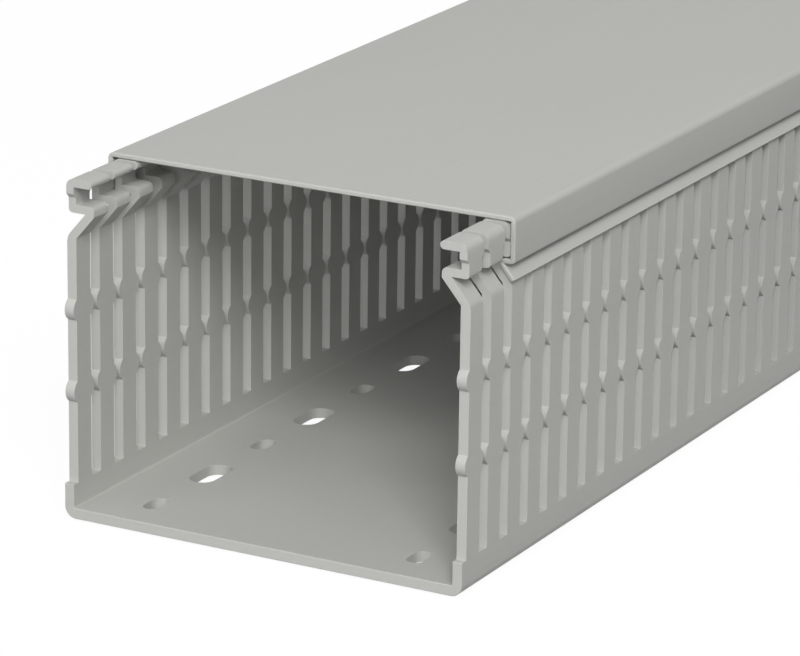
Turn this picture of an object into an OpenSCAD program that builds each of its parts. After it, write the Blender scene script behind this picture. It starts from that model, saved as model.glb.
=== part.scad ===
// Slotted wire duct: a U-shaped plastic channel whose two walls are rows of
// separate fingers, and a cover that hooks over the finger heads and slides
// along them. The duct runs along X and stands on Z = 0, and the origin is the
// middle of its underside. The cover is drawn slid back from the front end.

/* [Duct] */
// Length of the duct, and of the cover
duct_len = 1000; // [200:10:2000]
// Width over the outer faces of the two walls
duct_w = 105.6; // [60:0.1:200]
// Height to the top of the finger heads
duct_h = 82.7; // [60:0.1:130]
// Thickness of the walls
wall_t = 2.5; // [2:0.1:3]
// Thickness of the floor
floor_t = 2.6; // [1.5:0.1:4]
// Radius of the outer edge between floor and wall
foot_r = 2.8; // [1:0.1:4]
// Radius of the small fillet between floor and wall inside
root_r = 0.5; // [0.3:0.1:2]

/* [Fingers] */
// Distance from one finger to the next
pitch = 10; // [9:0.5:16]
// Width of the slot between two fingers
slot_w = 4; // [3.5:0.1:5]
// Height of the plain wall below the slots
slot_base = 8.4; // [6:0.1:15]
// Gap between two finger heads, where the slot opens at the top
mouth_w = 2; // [1:0.1:3]
// Height of the sloped shoulders that narrow the slot to its mouth
shoulder_h = 1; // [0.5:0.1:1.2]
// Heights of the round nubs that hold a wire in the slot
nub_z = [30.8, 50.8];
// How far a nub stands out into the slot
nub_out = 1.4; // [0.5:0.1:1.6]
// Radius of a nub
nub_r = 2.9; // [2:0.1:4]

/* [Finger head] */
// Height of the head, from its underside to its top
head_h = 8.4; // [7.6:0.1:10]
// Thickness of the head's ledge, rail and lip
head_t = 2; // [1.8:0.1:2.2]
// How far the rail is set in from the wall's outer face
head_in = 0.5; // [0.4:0.1:1]
// How far the ledge and the lip reach in from the wall's outer face
head_reach = 7.4; // [7:0.1:8.5]
// Radius of the head's upper outer edge
head_r = 2; // [1:0.1:2.5]
// Radius of the head's lower outer edge
heel_r = 1; // [0.5:0.1:1.5]
// Radius of the ledge's inner edge
ledge_r = 1.3; // [0.8:0.1:1.8]
// How far the finger leans in below its head
lean_run = 5; // [4:0.1:5.5]
// Height over which the finger leans in
lean_rise = 5.9; // [5:0.1:7]
// Thickness of the leaning stretch
lean_t = 2.1; // [1.8:0.1:2.2]
// Outer radius of the bend where the finger starts to lean
bend_r = 3; // [1:0.1:5]

/* [Cover] */
// Thickness of the cover's plate and skirts
cover_t = 1.2; // [1:0.1:1.5]
// Thickness of the hook under the finger heads
hook_t = 1.1; // [0.8:0.1:1.2]
// Sliding clearance above and beside the finger heads
cover_gap = 0.15; // [0.1:0.05:0.3]
// Clearance of the hook and its flange under the finger heads
hook_gap = 0.3; // [0.2:0.05:0.5]
// Radius of the cover's outer edges
cover_r = 1.6; // [1:0.1:2]
// How far above the start of the lean the cover's flanges end
flange_end = 0.3; // [0:0.1:2]
// How far the cover is slid back from the front end
cover_back = 21.2; // [0:0.2:100]

/* [Floor holes] */
// Distance from one floor hole to the next, small and large in turn
hole_pitch = 25; // [20:1:40]
// Distance from a wall's outer face to its row of holes
hole_in = 17.5; // [15:0.5:25]
// Width of a small hole
small_w = 4.5; // [3:0.1:6]
// Length of a small hole
small_len = 8; // [7:0.5:12]
// Width of a large hole
large_w = 6.5; // [4:0.1:8]
// Length of a large hole
large_len = 14; // [9:0.5:18]

/* [Hidden] */
plastic = [0.74, 0.745, 0.72];
$fn = 48;
over = 1; // how far a cutter runs past what it cuts

front_x = -duct_len / 2;
ledge_z = duct_h - head_h;
lean_z = ledge_z - lean_rise;
lean_a = atan(lean_run / lean_rise);
lean_w = lean_t / cos(lean_a);
lean_in_z = lean_z - (lean_w - wall_t) / tan(lean_a);
nose_z = lean_z + (head_reach - lean_w) / tan(lean_a);
shoulder_z = ledge_z + head_h / 2 - shoulder_h / 2;
slots = floor(duct_len / pitch);
holes = floor(duct_len / hole_pitch);

skirt_in = head_in - cover_gap;
skirt_out = skirt_in - cover_t;
plate_z = duct_h + cover_gap;
hook_z = ledge_z - hook_gap - hook_t;
hook_x = (hook_z - lean_z) * tan(lean_a) - (hook_gap + hook_t) / cos(lean_a);
flange_len = (hook_z - lean_z - flange_end) / cos(lean_a) - hook_t * tan(lean_a);

// Cutter that rounds the corner at [x, y] to radius r. The solid lies towards
// [sx, sy] from the corner, each 1 or -1.
module rounding(x, y, r, sx, sy)
    difference() {
        translate([x + sx * (r - over) / 2, y + sy * (r - over) / 2])
            square(r + over, center = true);
        translate([x + sx * r, y + sy * r]) circle(r);
    }

// Cutter that rounds the finger's outer bend. It is a kite around the bend's
// corner, less the circle that touches both faces.
module bend_rounding() {
    far = bend_r + over;
    translate([bend_r, lean_z - bend_r * tan(lean_a / 2)]) difference() {
        polygon([[0, 0], [-far, 0], [-far, far * tan(lean_a / 2)],
                 [-far * cos(lean_a), far * sin(lean_a)]]);
        circle(bend_r);
    }
}

// A shape drawn at the left wall, whose outer face is at x = 0, and its mirror
// image at the right wall.
module both_walls() {
    translate([-duct_w / 2, 0]) children();
    mirror([1, 0]) translate([-duct_w / 2, 0]) children();
}

// A profile drawn across the duct, run along it from x.
module along(x, len)
    translate([x, 0, 0]) rotate([90, 0, 90]) linear_extrude(len) children();

// Outline of the left wall from the foot, up its outer face, round the C-shaped
// head and back down its inner face to the small fillet at the floor.
wall_outline = [
    [0, 0], [0, lean_z], [lean_run, ledge_z], [head_in, ledge_z],
    [head_in, duct_h], [head_reach, duct_h], [head_reach, duct_h - head_t],
    [head_in + head_t, duct_h - head_t], [head_in + head_t, ledge_z + head_t],
    [head_reach, ledge_z + head_t], [head_reach, nose_z], [wall_t, lean_in_z],
    [wall_t, floor_t + root_r], [wall_t + root_r, floor_t + root_r],
    [wall_t + root_r, floor_t]
];

// The duct across: both walls and the floor in one outline, then every round
// edge and both root fillets taken out of it.
module duct_profile() {
    n = len(wall_outline) - 1;
    left = [for (p = wall_outline) [p.x - duct_w / 2, p.y]];
    difference() {
        polygon(concat(left, [for (i = [n : -1 : 0]) [-left[i].x, left[i].y]]));
        both_walls() {
            rounding(0, 0, foot_r, 1, 1);
            bend_rounding();
            rounding(head_in, ledge_z, heel_r, 1, 1);
            rounding(head_in, duct_h, head_r, 1, -1);
            rounding(head_reach, duct_h, head_t / 2, -1, -1);
            rounding(head_reach, duct_h - head_t, head_t / 2, -1, 1);
            rounding(head_reach, ledge_z + head_t, ledge_r, -1, -1);
            translate([wall_t + root_r, floor_t + root_r]) circle(root_r);
        }
    }
}

// The opening between two fingers, seen from the side: a slot with two pairs of
// nubs, sloped shoulders and a narrower mouth that is open at the top.
module slot_shape()
    difference() {
        polygon([
            [-slot_w / 2, slot_base], [slot_w / 2, slot_base],
            [slot_w / 2, shoulder_z], [mouth_w / 2, shoulder_z + shoulder_h],
            [mouth_w / 2, duct_h + over], [-mouth_w / 2, duct_h + over],
            [-mouth_w / 2, shoulder_z + shoulder_h], [-slot_w / 2, shoulder_z]
        ]);
        for (z = nub_z, side = [-1, 1])
            translate([side * (slot_w / 2 + nub_r - nub_out), z]) circle(nub_r);
    }

module obround(len, w)
    union() {
        square([len - w, w], center = true);
        for (side = [-1, 1]) translate([side * (len - w) / 2, 0]) circle(w / 2);
    }

// Two rows of fixing holes. Small and large ones take turns.
module floor_holes()
    for (i = [0 : holes - 1], side = [-1, 1])
        translate([front_x + (i + 0.5) * hole_pitch,
                   side * (duct_w / 2 - hole_in), -over])
            linear_extrude(floor_t + 2 * over)
                if (i % 2 == 0) obround(small_len, small_w);
                else obround(large_len, large_w);

// Both ends are cut through the middle of a slot.
module duct_body()
    color(plastic) difference() {
        along(front_x, duct_len) duct_profile();
        rotate([90, 0, 0])
            linear_extrude(duct_w + 2 * over, center = true)
                for (i = [0 : slots])
                    translate([front_x + i * pitch, 0]) slot_shape();
        floor_holes();
    }

// One skirt of the cover. It hangs outside the finger heads, hooks in under
// them and turns out again beside the leaning stretch.
module skirt_profile() {
    difference() {
        translate([skirt_out, hook_z])
            square([cover_t, plate_z + cover_t - hook_z]);
        rounding(skirt_out, hook_z, hook_t, 1, 1);
        rounding(skirt_out, plate_z + cover_t, cover_r, 1, -1);
    }
    difference() {
        translate([skirt_in - cover_t / 2, hook_z])
            square([hook_x - skirt_in + cover_t / 2, hook_t]);
        rounding(skirt_out, hook_z, hook_t, 1, 1);
    }
    translate([hook_x, hook_z]) {
        intersection() {
            circle(hook_t);
            polygon([[0, 0], [0, 2], [2, 2], [2, -2 * tan(lean_a)]] * hook_t);
        }
        rotate(-lean_a) translate([0, -flange_len])
            square([hook_t, flange_len]);
    }
}

module cover_profile() {
    difference() {
        translate([-duct_w / 2 + skirt_out, plate_z])
            square([duct_w - 2 * skirt_out, cover_t]);
        both_walls() rounding(skirt_out, plate_z + cover_t, cover_r, 1, -1);
    }
    both_walls() skirt_profile();
}

module cover()
    color(plastic) along(front_x + cover_back, duct_len) cover_profile();

duct_body();
cover();
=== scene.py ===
"""Slotted wire duct with its cover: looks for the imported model.

Pieces are drawn in millimetres, as their drawings give them, and brought to
metres when they are finished. X runs along the duct, Y across it, Z up.
"""

import math

import bmesh
import bpy
from mathutils import Matrix, Vector


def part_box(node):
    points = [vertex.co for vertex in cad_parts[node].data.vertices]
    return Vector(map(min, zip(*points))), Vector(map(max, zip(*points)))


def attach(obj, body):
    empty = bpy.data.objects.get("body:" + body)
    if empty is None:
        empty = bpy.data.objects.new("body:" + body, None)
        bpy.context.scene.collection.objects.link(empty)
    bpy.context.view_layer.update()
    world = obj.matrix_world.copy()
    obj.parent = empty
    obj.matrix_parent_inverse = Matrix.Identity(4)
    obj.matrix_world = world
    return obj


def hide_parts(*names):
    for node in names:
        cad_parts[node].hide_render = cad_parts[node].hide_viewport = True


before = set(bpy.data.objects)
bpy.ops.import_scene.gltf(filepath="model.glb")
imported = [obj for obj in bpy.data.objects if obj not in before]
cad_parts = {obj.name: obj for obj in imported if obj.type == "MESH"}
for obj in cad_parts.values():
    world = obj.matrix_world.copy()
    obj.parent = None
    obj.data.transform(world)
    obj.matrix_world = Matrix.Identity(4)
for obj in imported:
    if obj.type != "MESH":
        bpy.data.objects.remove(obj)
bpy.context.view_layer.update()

# ---------------------------------------------------------------------------
# Camera: a long lens, well back from the front end, above and to the right.
# It looks along the duct into its open end.
# ---------------------------------------------------------------------------

HEADING = math.radians(28.423)
LOOK_DOWN = math.radians(17.55)
ROLL = math.radians(0.761)

eye = bpy.data.cameras.new("camera")
eye.lens = 206.91
eye.sensor_width = 36.0
eye.clip_start = 0.05
eye.clip_end = 60.0
camera = bpy.data.objects.new("camera", eye)
camera.matrix_world = (
    Matrix.Translation((-1.35854, -0.50083, 0.36986))
    @ Matrix.Rotation(HEADING - math.pi / 2, 4, "Z")
    @ Matrix.Rotation(math.pi / 2 - LOOK_DOWN, 4, "X")
    @ Matrix.Rotation(ROLL, 4, "Z")
)
bpy.context.scene.collection.objects.link(camera)
bpy.context.scene.camera = camera

# ---------------------------------------------------------------------------
# Studio: a white floor and a ring of large softboxes, 3 m from the front end.
# The floor glows towards the camera, so it looks white and keeps only a faint
# shadow of the duct. The surround is white to look at and gives no light.
# ---------------------------------------------------------------------------

FLOOR_SIZE = 30.0
FLOOR_DROP = 0.0006
FLOOR_GREY = 0.3
GLOW_SHARE = 0.8
GLOW_STRENGTH = 1.19
LAMP_DISTANCE = 3.0
FRONT_END = (-0.45, 0.0, 0.04)

scene = bpy.context.scene
scene.view_settings.view_transform = "Standard"


def seen_directly(nodes, links):
    """1 where the camera, a reflection or a view through glass looks."""
    path = nodes.new("ShaderNodeLightPath")
    first = nodes.new("ShaderNodeMath")
    first.operation = "MAXIMUM"
    links.new(path.outputs["Is Camera Ray"], first.inputs[0])
    links.new(path.outputs["Is Glossy Ray"], first.inputs[1])
    both = nodes.new("ShaderNodeMath")
    both.operation = "MAXIMUM"
    links.new(first.outputs[0], both.inputs[0])
    links.new(path.outputs["Is Transmission Ray"], both.inputs[1])
    return both.outputs[0]


world = bpy.data.worlds.new("surround")
scene.world = world
world.use_nodes = True
nodes, links = world.node_tree.nodes, world.node_tree.links
nodes.clear()
dark = nodes.new("ShaderNodeBackground")
dark.inputs["Strength"].default_value = 0.0
backdrop = nodes.new("ShaderNodeBackground")
backdrop.inputs["Color"].default_value = (1.0, 1.0, 1.0, 1.0)
backdrop.inputs["Strength"].default_value = 1.0
mix = nodes.new("ShaderNodeMixShader")
links.new(seen_directly(nodes, links), mix.inputs[0])
links.new(dark.outputs[0], mix.inputs[1])
links.new(backdrop.outputs[0], mix.inputs[2])
out = nodes.new("ShaderNodeOutputWorld")
links.new(mix.outputs[0], out.inputs["Surface"])

bpy.ops.object.select_all(action="DESELECT")
bpy.ops.mesh.primitive_plane_add(size=FLOOR_SIZE, location=(0.0, 0.0, -FLOOR_DROP))
floor = bpy.context.active_object
floor.name = "studio_floor"
paint = bpy.data.materials.new("studio_floor_white")
paint.use_nodes = True
nodes, links = paint.node_tree.nodes, paint.node_tree.links
nodes.clear()
matt = nodes.new("ShaderNodeBsdfDiffuse")
matt.inputs["Color"].default_value = (FLOOR_GREY, FLOOR_GREY, FLOOR_GREY, 1.0)
glow = nodes.new("ShaderNodeEmission")
glow.inputs["Color"].default_value = (1.0, 1.0, 1.0, 1.0)
glow.inputs["Strength"].default_value = GLOW_STRENGTH
share = nodes.new("ShaderNodeMath")
share.operation = "MULTIPLY"
share.inputs[1].default_value = GLOW_SHARE
links.new(seen_directly(nodes, links), share.inputs[0])
mix = nodes.new("ShaderNodeMixShader")
links.new(share.outputs[0], mix.inputs[0])
links.new(matt.outputs[0], mix.inputs[1])
links.new(glow.outputs[0], mix.inputs[2])
out = nodes.new("ShaderNodeOutputMaterial")
links.new(mix.outputs[0], out.inputs["Surface"])
floor.data.materials.append(paint)


def soft_lamp(name, direction, size, power):
    """A square softbox in one direction from the front end, turned to face it."""
    lamp = bpy.data.lights.new(name, "AREA")
    lamp.shape = "SQUARE"
    lamp.size = size
    lamp.energy = power
    holder = bpy.data.objects.new(name, lamp)
    outward = Vector(direction).normalized()
    holder.location = Vector(FRONT_END) + LAMP_DISTANCE * outward
    holder.rotation_euler = (-outward).to_track_quat("-Z", "Y").to_euler()
    scene.collection.objects.link(holder)


soft_lamp("key_lamp", (-0.659, -0.423, 0.623), 1.0, 48.2)
soft_lamp("key_top_lamp", (-0.5, -0.55, 0.67), 1.5, 16.4)
soft_lamp("key_low_lamp", (-0.85, -0.4, 0.35), 1.0, 11.7)
soft_lamp("front_lamp", (-0.98, -0.05, 0.2), 1.5, 8.2)
soft_lamp("left_lamp", (-0.8, 0.55, 0.25), 2.0, 18.7)
soft_lamp("left_top_lamp", (-0.6, 0.5, 0.6), 2.0, 7.0)
soft_lamp("top_lamp", (-0.05, 0.0, 1.0), 3.0, 14.1)
soft_lamp("rear_lamp", (0.6, -0.3, 0.7), 3.0, 11.7)
soft_lamp("right_lamp", (-0.1, -0.95, 0.3), 3.0, 8.1)

# ---------------------------------------------------------------------------
# Duct body: one length of rigid PVC, extruded as a U-shaped channel with a
# C-shaped head on each wall. Its slots are punched through both walls and leave
# separate fingers, and its floor is punched for fixing screws.
# ---------------------------------------------------------------------------

low, high = (1000.0 * Vector(corner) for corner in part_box("duct_body"))
FRONT = low.x
RUN = high.x - low.x
HALF = high.y
TOP = high.z
PITCH = 10.0
WALL = 2.5
FLOOR = 2.6
HEAD_H = 8.4
LEDGE_Z = TOP - HEAD_H
LEAN_RUN = 5.0
LEAN_RISE = 5.9
LEAN_Z = LEDGE_Z - LEAN_RISE
LEAN = math.atan2(LEAN_RUN, LEAN_RISE)
LEAN_T = 2.1
LEAN_W = LEAN_T / math.cos(LEAN)
HEAD_IN = 0.5
HEAD_T = 2.0
REACH = 7.4
FOOT_R = 2.8
ROOT_R = 0.5
BEND_R = 3.0
HEEL_R = 1.0
HEAD_R = 2.0
LEDGE_R = 1.3
LIP_R = 0.98  # just under half of HEAD_T, so the lip's two rounds stay apart


def draw_outline(name, points):
    """A flat face, drawn point by point from one vertex pulled round it."""
    bpy.ops.object.select_all(action="DESELECT")
    bpy.ops.mesh.primitive_plane_add(size=1.0)
    piece = bpy.context.active_object
    piece.name = piece.data.name = name
    bpy.ops.object.mode_set(mode="EDIT")
    bpy.ops.mesh.select_mode(type="VERT")
    bpy.ops.mesh.select_all(action="SELECT")
    bpy.ops.mesh.merge(type="CENTER")
    bpy.ops.transform.translate(value=points[0])
    for here, there in zip(points, points[1:]):
        step = Vector(there) - Vector(here)
        bpy.ops.mesh.extrude_vertices_move(TRANSFORM_OT_translate={"value": step})
    bpy.ops.mesh.select_all(action="SELECT")
    bpy.ops.mesh.edge_face_add()
    return piece


def pick(piece, kind, wanted):
    """Selects the vertices, edges or faces that pass a test."""
    mesh = bmesh.from_edit_mesh(piece.data)
    for group in (mesh.verts, mesh.edges, mesh.faces):
        for item in group:
            item.select = False
    for item in getattr(mesh, kind):
        if wanted(item):
            item.select_set(True)
    mesh.select_flush_mode()
    bmesh.update_edit_mesh(piece.data)


def round_corners(piece, corners, radius, steps):
    """Rounds corners of an outline, from that far along both their edges."""
    spots = [Vector(corner) for corner in corners]
    pick(piece, "verts", lambda v: any((v.co - s).length < 0.01 for s in spots))
    bpy.ops.mesh.bevel(offset=radius, segments=steps, affect="VERTICES")


def pull(piece, step):
    """Pulls an outline into a closed solid and leaves edit mode."""
    bpy.ops.mesh.select_all(action="SELECT")
    bpy.ops.mesh.extrude_region_move(TRANSFORM_OT_translate={"value": step})
    bpy.ops.mesh.select_all(action="SELECT")
    bpy.ops.mesh.normals_make_consistent(inside=False)
    bpy.ops.object.mode_set(mode="OBJECT")


def repeat(piece, count, step, weld=False):
    """A row of copies along X, welded where they meet if asked."""
    row = piece.modifiers.new("row", "ARRAY")
    row.count = count
    row.use_relative_offset = False
    row.use_constant_offset = True
    row.constant_offset_displace = (step, 0.0, 0.0)
    row.use_merge_vertices = weld
    row.merge_threshold = 0.001
    bpy.context.view_layer.objects.active = piece
    bpy.ops.object.modifier_apply(modifier=row.name)


def finish_plastic_piece(piece, ends, end_edge, other_edge):
    """Breaks the sharp edges, brings the piece to metres and shades it.

    The edges of the two sawn ends are broken more than the rest.
    """
    def is_sharp(line):
        return line.is_manifold and line.calc_face_angle() > math.radians(35.0)

    def is_at_an_end(line):
        x = [v.co.x for v in line.verts]
        return is_sharp(line) and any(
            max(abs(v - end) for v in x) < 0.01 for end in ends)

    bpy.ops.object.select_all(action="DESELECT")
    piece.select_set(True)
    bpy.context.view_layer.objects.active = piece
    bpy.ops.object.mode_set(mode="EDIT")
    bpy.ops.mesh.select_mode(type="EDGE")
    share = other_edge / end_edge
    pick(piece, "edges", is_sharp)
    bpy.ops.transform.edge_bevelweight(value=share)
    pick(piece, "edges", is_at_an_end)
    bpy.ops.transform.edge_bevelweight(value=1.0 - share)
    bpy.ops.object.mode_set(mode="OBJECT")
    soften = piece.modifiers.new("edges", "BEVEL")
    soften.width = end_edge
    soften.segments = 1
    soften.limit_method = "WEIGHT"
    bpy.ops.object.modifier_apply(modifier=soften.name)
    piece.scale = (0.001, 0.001, 0.001)
    bpy.ops.object.transform_apply(location=False, rotation=False, scale=True)
    bpy.ops.object.shade_smooth_by_angle(angle=math.radians(20.0))


def both_walls(inward, z):
    """The point that far in from each wall's outer face, at the front end."""
    return [(FRONT, side * (HALF - inward), z) for side in (1, -1)]


# One stretch that holds five slots and four floor holes, then twenty of them.
STRETCH = 50.0
lean_in_z = LEAN_Z - (LEAN_W - WALL) / math.tan(LEAN)
nose_z = LEAN_Z + (REACH - LEAN_W) / math.tan(LEAN)
wall_line = [
    (0.0, 0.0), (0.0, LEAN_Z), (LEAN_RUN, LEDGE_Z), (HEAD_IN, LEDGE_Z),
    (HEAD_IN, TOP), (REACH, TOP), (REACH, TOP - HEAD_T),
    (HEAD_IN + HEAD_T, TOP - HEAD_T), (HEAD_IN + HEAD_T, LEDGE_Z + HEAD_T),
    (REACH, LEDGE_Z + HEAD_T), (REACH, nose_z), (WALL, lean_in_z), (WALL, FLOOR),
]
section = [both_walls(*spot)[0] for spot in wall_line]
section += [both_walls(*spot)[1] for spot in reversed(wall_line)]
duct = draw_outline("duct_channel", section)
round_corners(duct, both_walls(0.0, 0.0), FOOT_R, 6)
round_corners(duct, both_walls(0.0, LEAN_Z), BEND_R * math.tan(LEAN / 2), 3)
round_corners(duct, both_walls(WALL, FLOOR), ROOT_R, 5)
round_corners(duct, both_walls(HEAD_IN, LEDGE_Z), HEEL_R, 5)
round_corners(duct, both_walls(HEAD_IN, TOP), HEAD_R, 6)
round_corners(duct, both_walls(REACH, TOP), LIP_R, 5)
round_corners(duct, both_walls(REACH, TOP - HEAD_T), LIP_R, 5)
round_corners(duct, both_walls(REACH, LEDGE_Z + HEAD_T), LEDGE_R, 5)
pull(duct, (STRETCH, 0.0, 0.0))

# The slot punch: a straight slot with two pairs of round nubs, narrowed by
# sloped shoulders to the mouth between two heads.
SLOT_HALF = 2.0
SLOT_BASE = 8.4
SHOULDER_H = 1.0
SHOULDER_Z = LEDGE_Z + (HEAD_H - SHOULDER_H) / 2.0
MOUTH_HALF = 1.0
NUB_Z = (30.8, 50.8)
NUB_R = 2.9
NUB_OUT = 1.4


def nub(z, steps=8):
    """Points round one nub, from its lower end to its upper end."""
    half = math.acos((NUB_R - NUB_OUT) / NUB_R)
    turns = [half * (2.0 * i / steps - 1.0) for i in range(steps + 1)]
    centre = SLOT_HALF + NUB_R - NUB_OUT
    return [(centre - NUB_R * math.cos(t), z + NUB_R * math.sin(t)) for t in turns]


PUNCH_PAST = 1.0
edge = [(SLOT_HALF, SLOT_BASE), *nub(NUB_Z[0]), *nub(NUB_Z[1]), (SLOT_HALF, SHOULDER_Z)]
edge += [(MOUTH_HALF, SHOULDER_Z + SHOULDER_H), (MOUTH_HALF, TOP + PUNCH_PAST)]
punched = edge + [(-x, z) for x, z in reversed(edge)]
side_y = HALF + 2.0 * PUNCH_PAST
punch = draw_outline("punch", [(FRONT + x, -side_y, z) for x, z in punched])
pull(punch, (0.0, 2.0 * side_y, 0.0))
repeat(punch, int(STRETCH / PITCH) + 1, PITCH)


def hole_punch(length, width, x, y, steps=10):
    """A punch for one obround floor hole, long along the duct."""
    r, shift = width / 2.0, (length - width) / 2.0
    turns = [math.pi * i / steps for i in range(steps + 1)]
    round_end = [(shift + r * math.sin(t), -r * math.cos(t)) for t in turns]
    ring = round_end + [(-px, -py) for px, py in round_end]
    start = [(x + px, y + py, -PUNCH_PAST) for px, py in ring]
    tool = draw_outline("hole_punch", start)
    pull(tool, (0.0, 0.0, FLOOR + 2.0 * PUNCH_PAST))
    return tool


HOLE_IN = 17.5
SMALL_HOLE = (8.0, 4.5)
LARGE_HOLE = (14.0, 6.5)
tools = [punch]
for side in (1, -1):
    row_y = side * (HALF - HOLE_IN)
    tools.append(hole_punch(*SMALL_HOLE, FRONT + 0.25 * STRETCH, row_y))
    tools.append(hole_punch(*LARGE_HOLE, FRONT + 0.75 * STRETCH, row_y))
bpy.ops.object.select_all(action="DESELECT")
for tool in tools:
    tool.select_set(True)
bpy.context.view_layer.objects.active = punch
bpy.ops.object.join()

bpy.context.view_layer.objects.active = duct
stamp = duct.modifiers.new("punched", "BOOLEAN")
stamp.object = punch
stamp.operation = "DIFFERENCE"
stamp.solver = "EXACT"
bpy.ops.object.modifier_apply(modifier=stamp.name)
bpy.data.objects.remove(punch)


def is_stretch_end(face):
    """The two cut faces, where one stretch meets the next."""
    x = face.calc_center_median().x - FRONT
    return abs(face.normal.x) > 0.99 and min(abs(x), abs(x - STRETCH)) < 0.01


bpy.ops.object.select_all(action="DESELECT")
duct.select_set(True)
bpy.ops.object.mode_set(mode="EDIT")
bpy.ops.mesh.select_mode(type="FACE")
pick(duct, "faces", is_stretch_end)
bpy.ops.mesh.delete(type="FACE")
bpy.ops.object.mode_set(mode="OBJECT")
repeat(duct, round(RUN / STRETCH), STRETCH, weld=True)
bpy.ops.object.mode_set(mode="EDIT")
bpy.ops.mesh.select_mode(type="EDGE")
bpy.ops.mesh.select_all(action="DESELECT")
bpy.ops.mesh.select_non_manifold()
bpy.ops.mesh.edge_face_add()
bpy.ops.object.mode_set(mode="OBJECT")
finish_plastic_piece(duct, (low.x, high.x), 0.15, 0.04)

# Stone grey rigid PVC with a fine matte skin. The die leaves very faint lines
# along it, and the pigment is a little uneven.
GREY = (0.497, 0.502, 0.474)


def extruded_pvc(name, seed):
    """Matte extruded plastic, with die lines along X."""
    material = bpy.data.materials.new(name)
    material.use_nodes = True
    nodes, links = material.node_tree.nodes, material.node_tree.links
    shader = nodes["Principled BSDF"]
    shader.inputs["IOR"].default_value = 1.5
    shader.inputs["Specular IOR Level"].default_value = 0.35
    place = nodes.new("ShaderNodeTexCoord")

    def pattern(stretch, scale, detail):
        """Noise on the piece, stretched along the duct."""
        mapping = nodes.new("ShaderNodeMapping")
        mapping.inputs["Scale"].default_value = stretch
        mapping.inputs["Location"].default_value = (seed, seed, seed)
        links.new(place.outputs["Object"], mapping.inputs["Vector"])
        noise = nodes.new("ShaderNodeTexNoise")
        noise.inputs["Scale"].default_value = scale
        noise.inputs["Detail"].default_value = detail
        links.new(mapping.outputs["Vector"], noise.inputs["Vector"])
        return noise.outputs["Fac"]

    die_lines = pattern((0.02, 1.0, 1.0), 900.0, 2.0)
    clouding = pattern((0.4, 1.0, 1.0), 14.0, 3.0)
    grain = pattern((1.0, 1.0, 1.0), 2600.0, 2.0)

    def between(value, low_end, high_end):
        """The pattern, spread over a range."""
        spread = nodes.new("ShaderNodeMapRange")
        spread.inputs["From Min"].default_value = 0.3
        spread.inputs["From Max"].default_value = 0.7
        spread.inputs["To Min"].default_value = low_end
        spread.inputs["To Max"].default_value = high_end
        links.new(value, spread.inputs["Value"])
        return spread.outputs["Result"]

    def times(a, b):
        product = nodes.new("ShaderNodeMath")
        product.operation = "MULTIPLY"
        links.new(a, product.inputs[0])
        links.new(b, product.inputs[1])
        return product.outputs[0]

    shade = times(between(clouding, 0.985, 1.015), between(die_lines, 0.992, 1.008))
    tint = nodes.new("ShaderNodeVectorMath")
    tint.operation = "SCALE"
    tint.inputs[0].default_value = GREY
    links.new(shade, tint.inputs["Scale"])
    links.new(tint.outputs["Vector"], shader.inputs["Base Color"])
    links.new(between(grain, 0.5, 0.6), shader.inputs["Roughness"])
    bump = nodes.new("ShaderNodeBump")
    bump.inputs["Strength"].default_value = 0.12
    bump.inputs["Distance"].default_value = 0.00005
    links.new(times(between(grain, 0.8, 1.2), between(die_lines, 0.6, 1.4)),
              bump.inputs["Height"])
    links.new(bump.outputs["Normal"], shader.inputs["Normal"])
    return material


duct.data.materials.append(extruded_pvc("duct_pvc", 0.0))
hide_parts("duct_body")
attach(duct, "duct")

# ---------------------------------------------------------------------------
# Cover: one thin extrusion of the same PVC. Each skirt hangs outside the finger
# heads, hooks in under them and turns out again beside the leaning stretch of
# the fingers, and the whole cover slides along them.
# ---------------------------------------------------------------------------

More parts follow.
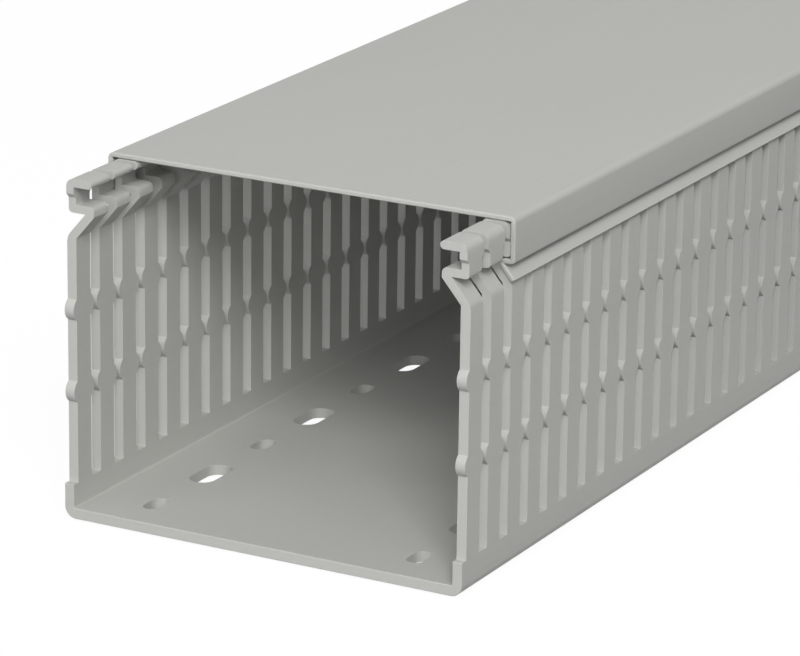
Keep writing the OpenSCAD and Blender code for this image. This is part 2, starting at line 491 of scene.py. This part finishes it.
low, high = (1000.0 * Vector(corner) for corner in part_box("cover"))
COVER_FRONT = low.x
COVER_RUN = high.x - low.x
COVER_TOP = high.z
COVER_T = 1.2
HOOK_T = 1.1
COVER_R = 1.6
GAP = COVER_TOP - COVER_T - TOP
SKIRT_IN = HEAD_IN - GAP
SKIRT_OUT = SKIRT_IN - COVER_T
HOOK_GAP = 0.3  # under the heads
HOOK_Z = LEDGE_Z - HOOK_GAP - HOOK_T
HOOK_X = (HOOK_Z - LEAN_Z) * math.tan(LEAN) - (HOOK_GAP + HOOK_T) / math.cos(LEAN)
FLANGE_END = 0.3  # how far above the start of the lean the flange ends
FLANGE = (HOOK_Z - LEAN_Z - FLANGE_END) / math.cos(LEAN) - HOOK_T * math.tan(LEAN)

tip = (HOOK_X - FLANGE * math.sin(LEAN), HOOK_Z - FLANGE * math.cos(LEAN))
inner_tip = (tip[0] + HOOK_T * math.cos(LEAN), tip[1] - HOOK_T * math.sin(LEAN))
turns = [-LEAN + (math.pi / 2 + LEAN) * i / 8 for i in range(9)]
knee = [(HOOK_X + HOOK_T * math.cos(t), HOOK_Z + HOOK_T * math.sin(t)) for t in turns]
skirt_line = [
    inner_tip, *knee, (SKIRT_IN, HOOK_Z + HOOK_T), (SKIRT_IN, COVER_TOP - COVER_T),
]
outer_line = [
    (SKIRT_OUT, COVER_TOP), (SKIRT_OUT, HOOK_Z), (HOOK_X, HOOK_Z), tip,
]


def at_cover_end(spots, side):
    """Spots given from a wall's outer face, placed at the cover's front end."""
    return [(COVER_FRONT, side * (HALF - inward), z) for inward, z in spots]


section = at_cover_end(skirt_line, 1)
section += at_cover_end(list(reversed(skirt_line)), -1)
section += at_cover_end(list(reversed(outer_line)), -1)
section += at_cover_end(outer_line, 1)
cover = draw_outline("slide_on_cover", section)
for side in (1, -1):
    round_corners(cover, at_cover_end([(SKIRT_OUT, COVER_TOP)], side), COVER_R, 6)
    round_corners(cover, at_cover_end([(SKIRT_OUT, HOOK_Z)], side), HOOK_T, 4)
pull(cover, (COVER_RUN, 0.0, 0.0))
finish_plastic_piece(cover, (low.x, high.x), 0.25, 0.05)
cover.data.materials.append(extruded_pvc("cover_pvc", 3.7))
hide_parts("cover")
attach(cover, "cover")
